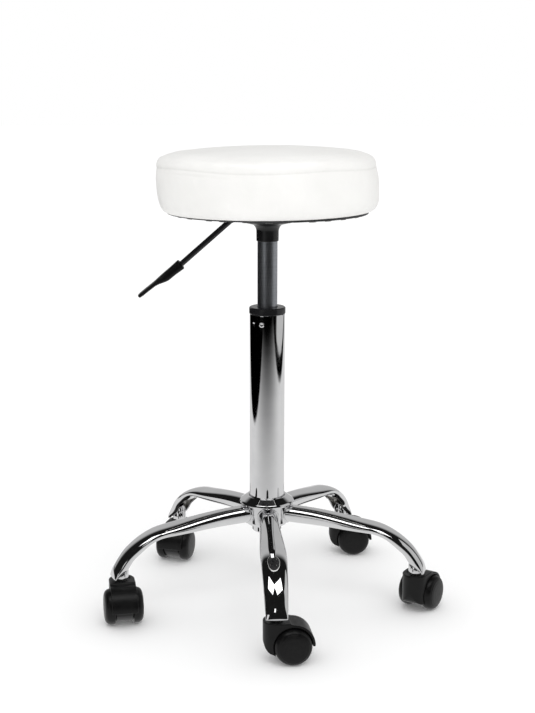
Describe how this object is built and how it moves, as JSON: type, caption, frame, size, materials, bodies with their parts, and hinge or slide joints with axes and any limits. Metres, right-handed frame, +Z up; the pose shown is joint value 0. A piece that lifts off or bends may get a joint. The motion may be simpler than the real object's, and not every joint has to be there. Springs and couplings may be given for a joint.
{
  "type": "rolling stylist stool",
  "caption": "Round padded swivel stool on a height-adjustable gas lift column with a release lever, chrome tubular star base and twin-wheel swivel casters.",
  "frame": {"origin": "On the column's axis at floor level, where the caster wheels stand.", "axes": "+Z is up along the column; -X is the side the release lever points to; -Y is the side the front leg points to."},
  "size_m": [0.4874, 0.4609, 0.656],
  "materials": {
    "chrome": "polished",
    "satin_steel": "satin",
    "zinc_steel": "satin",
    "black_metal": "satin",
    "gloss_black": "gloss",
    "black_plastic": "satin",
    "nylon": "satin",
    "plywood": "matte",
    "dust_cloth": "matte",
    "white_vinyl": "satin"
  },
  "bodies": {
    "base": {"hub_barrel": "chrome", "hub_flange": "chrome", "column_tube": "chrome", "column_cap": "gloss_black", "guide_sleeve": "nylon", "thrust_bearing": "zinc_steel", "leg_1": "chrome", "leg_2": "chrome", "leg_3": "chrome", "leg_4": "chrome", "leg_5": "chrome", "caster_socket_1": "chrome", "caster_socket_2": "chrome", "caster_socket_3": "chrome", "caster_socket_4": "chrome", "caster_socket_5": "chrome", "caster_stem_1": "zinc_steel", "caster_stem_2": "zinc_steel", "caster_stem_3": "zinc_steel", "caster_stem_4": "zinc_steel", "caster_stem_5": "zinc_steel"},
    "swivel_rod": {"piston_rod": "satin_steel", "piston": "black_metal", "retaining_clip": "zinc_steel"},
    "lift": {"gas_cylinder": "satin_steel", "seat_socket": "black_metal", "lever_pin": "zinc_steel", "seat_plate": "black_metal", "seat_bolt_1": "zinc_steel", "seat_bolt_2": "zinc_steel", "seat_bolt_3": "zinc_steel", "seat_bolt_4": "zinc_steel", "dust_cover": "dust_cloth", "seat_board": "plywood", "seat_cushion": "white_vinyl"},
    "lever": {"lever_rod": "black_metal", "lever_handle": "black_plastic"},
    "valve": {"valve_pin": "zinc_steel"},
    "caster_1": {"caster_hood_1": "black_plastic", "axle_1": "zinc_steel"},
    "caster_1_left_wheel": {"wheel_1_left": "black_plastic"},
    "caster_1_right_wheel": {"wheel_1_right": "black_plastic"},
    "caster_2": {"caster_hood_2": "black_plastic", "axle_2": "zinc_steel"},
    "caster_2_left_wheel": {"wheel_2_left": "black_plastic"},
    "caster_2_right_wheel": {"wheel_2_right": "black_plastic"},
    "caster_3": {"caster_hood_3": "black_plastic", "axle_3": "zinc_steel"},
    "caster_3_left_wheel": {"wheel_3_left": "black_plastic"},
    "caster_3_right_wheel": {"wheel_3_right": "black_plastic"},
    "caster_4": {"caster_hood_4": "black_plastic", "axle_4": "zinc_steel"},
    "caster_4_left_wheel": {"wheel_4_left": "black_plastic"},
    "caster_4_right_wheel": {"wheel_4_right": "black_plastic"},
    "caster_5": {"caster_hood_5": "black_plastic", "axle_5": "zinc_steel"},
    "caster_5_left_wheel": {"wheel_5_left": "black_plastic"},
    "caster_5_right_wheel": {"wheel_5_right": "black_plastic"}
  },
  "joints": [
    {"name": "seat_swivel", "type": "hinge", "parent": "base", "child": "swivel_rod", "pos_m": [0, 0, 0.112], "axis": [0, 0, 1], "continuous": true},
    {"name": "seat_height", "type": "slide", "parent": "swivel_rod", "child": "lift", "axis": [0, 0, 1], "range_m": [-0.088, 0.102]},
    {"name": "lever_lift", "type": "hinge", "parent": "lift", "child": "lever", "pos_m": [-0.024, 0, 0.5555], "axis": [0, 1, 0], "range_deg": [0, 6], "stiffness_Nm_per_rad": 1.5},
    {"name": "valve_press", "type": "slide", "parent": "lift", "child": "valve", "axis": [0, 0, -1], "range_m": [0, 0.0026]},
    {"name": "caster_1_swivel", "type": "hinge", "parent": "base", "child": "caster_1", "pos_m": [0.01302, -0.21921, 0.057], "axis": [0, 0, 1], "continuous": true},
    {"name": "wheel_1_left_spin", "type": "hinge", "parent": "caster_1", "child": "caster_1_left_wheel", "pos_m": [0.03283, -0.21643, 0.025], "axis": [-0.1392, 0.9903, 0], "continuous": true},
    {"name": "wheel_1_right_spin", "type": "hinge", "parent": "caster_1", "child": "caster_1_right_wheel", "pos_m": [0.03283, -0.21643, 0.025], "axis": [-0.1392, 0.9903, 0], "continuous": true},
    {"name": "caster_2_swivel", "type": "hinge", "parent": "base", "child": "caster_2", "pos_m": [0.21251, -0.05535, 0.057], "axis": [0, 0, 1], "continuous": true},
    {"name": "wheel_2_left_spin", "type": "hinge", "parent": "caster_2", "child": "caster_2_left_wheel", "pos_m": [0.2234, -0.03858, 0.025], "axis": [-0.8387, 0.5446, 0], "continuous": true},
    {"name": "wheel_2_right_spin", "type": "hinge", "parent": "caster_2", "child": "caster_2_right_wheel", "pos_m": [0.2234, -0.03858, 0.025], "axis": [-0.8387, 0.5446, 0], "continuous": true},
    {"name": "caster_3_swivel", "type": "hinge", "parent": "base", "child": "caster_3", "pos_m": [0.11831, 0.185, 0.057], "axis": [0, 0, 1], "continuous": true},
    {"name": "wheel_3_left_spin", "type": "hinge", "parent": "caster_3", "child": "caster_3_left_wheel", "pos_m": [0.1383, 0.1857, 0.025], "axis": [-0.0349, 0.9994, 0], "continuous": true},
    {"name": "wheel_3_right_spin", "type": "hinge", "parent": "caster_3", "child": "caster_3_right_wheel", "pos_m": [0.1383, 0.1857, 0.025], "axis": [-0.0349, 0.9994, 0], "continuous": true},
    {"name": "caster_4_swivel", "type": "hinge", "parent": "base", "child": "caster_4", "pos_m": [-0.13939, 0.16969, 0.057], "axis": [0, 0, 1], "continuous": true},
    {"name": "wheel_4_left_spin", "type": "hinge", "parent": "caster_4", "child": "caster_4_left_wheel", "pos_m": [-0.14456, 0.15037, 0.025], "axis": [0.9659, -0.2588, 0], "continuous": true},
    {"name": "wheel_4_right_spin", "type": "hinge", "parent": "caster_4", "child": "caster_4_right_wheel", "pos_m": [-0.14456, 0.15037, 0.025], "axis": [0.9659, -0.2588, 0], "continuous": true},
    {"name": "caster_5_swivel", "type": "hinge", "parent": "base", "child": "caster_5", "pos_m": [-0.20446, -0.08013, 0.057], "axis": [0, 0, 1], "continuous": true},
    {"name": "wheel_5_left_spin", "type": "hinge", "parent": "caster_5", "child": "caster_5_left_wheel", "pos_m": [-0.2003, -0.09969, 0.025], "axis": [0.9781, 0.2079, 0], "continuous": true},
    {"name": "wheel_5_right_spin", "type": "hinge", "parent": "caster_5", "child": "caster_5_right_wheel", "pos_m": [-0.2003, -0.09969, 0.025], "axis": [0.9781, 0.2079, 0], "continuous": true}
  ],
  "couplings": [
    {"joint": "valve_press", "follows": "lever_lift", "m_per_rad": 0.024}
  ]
}
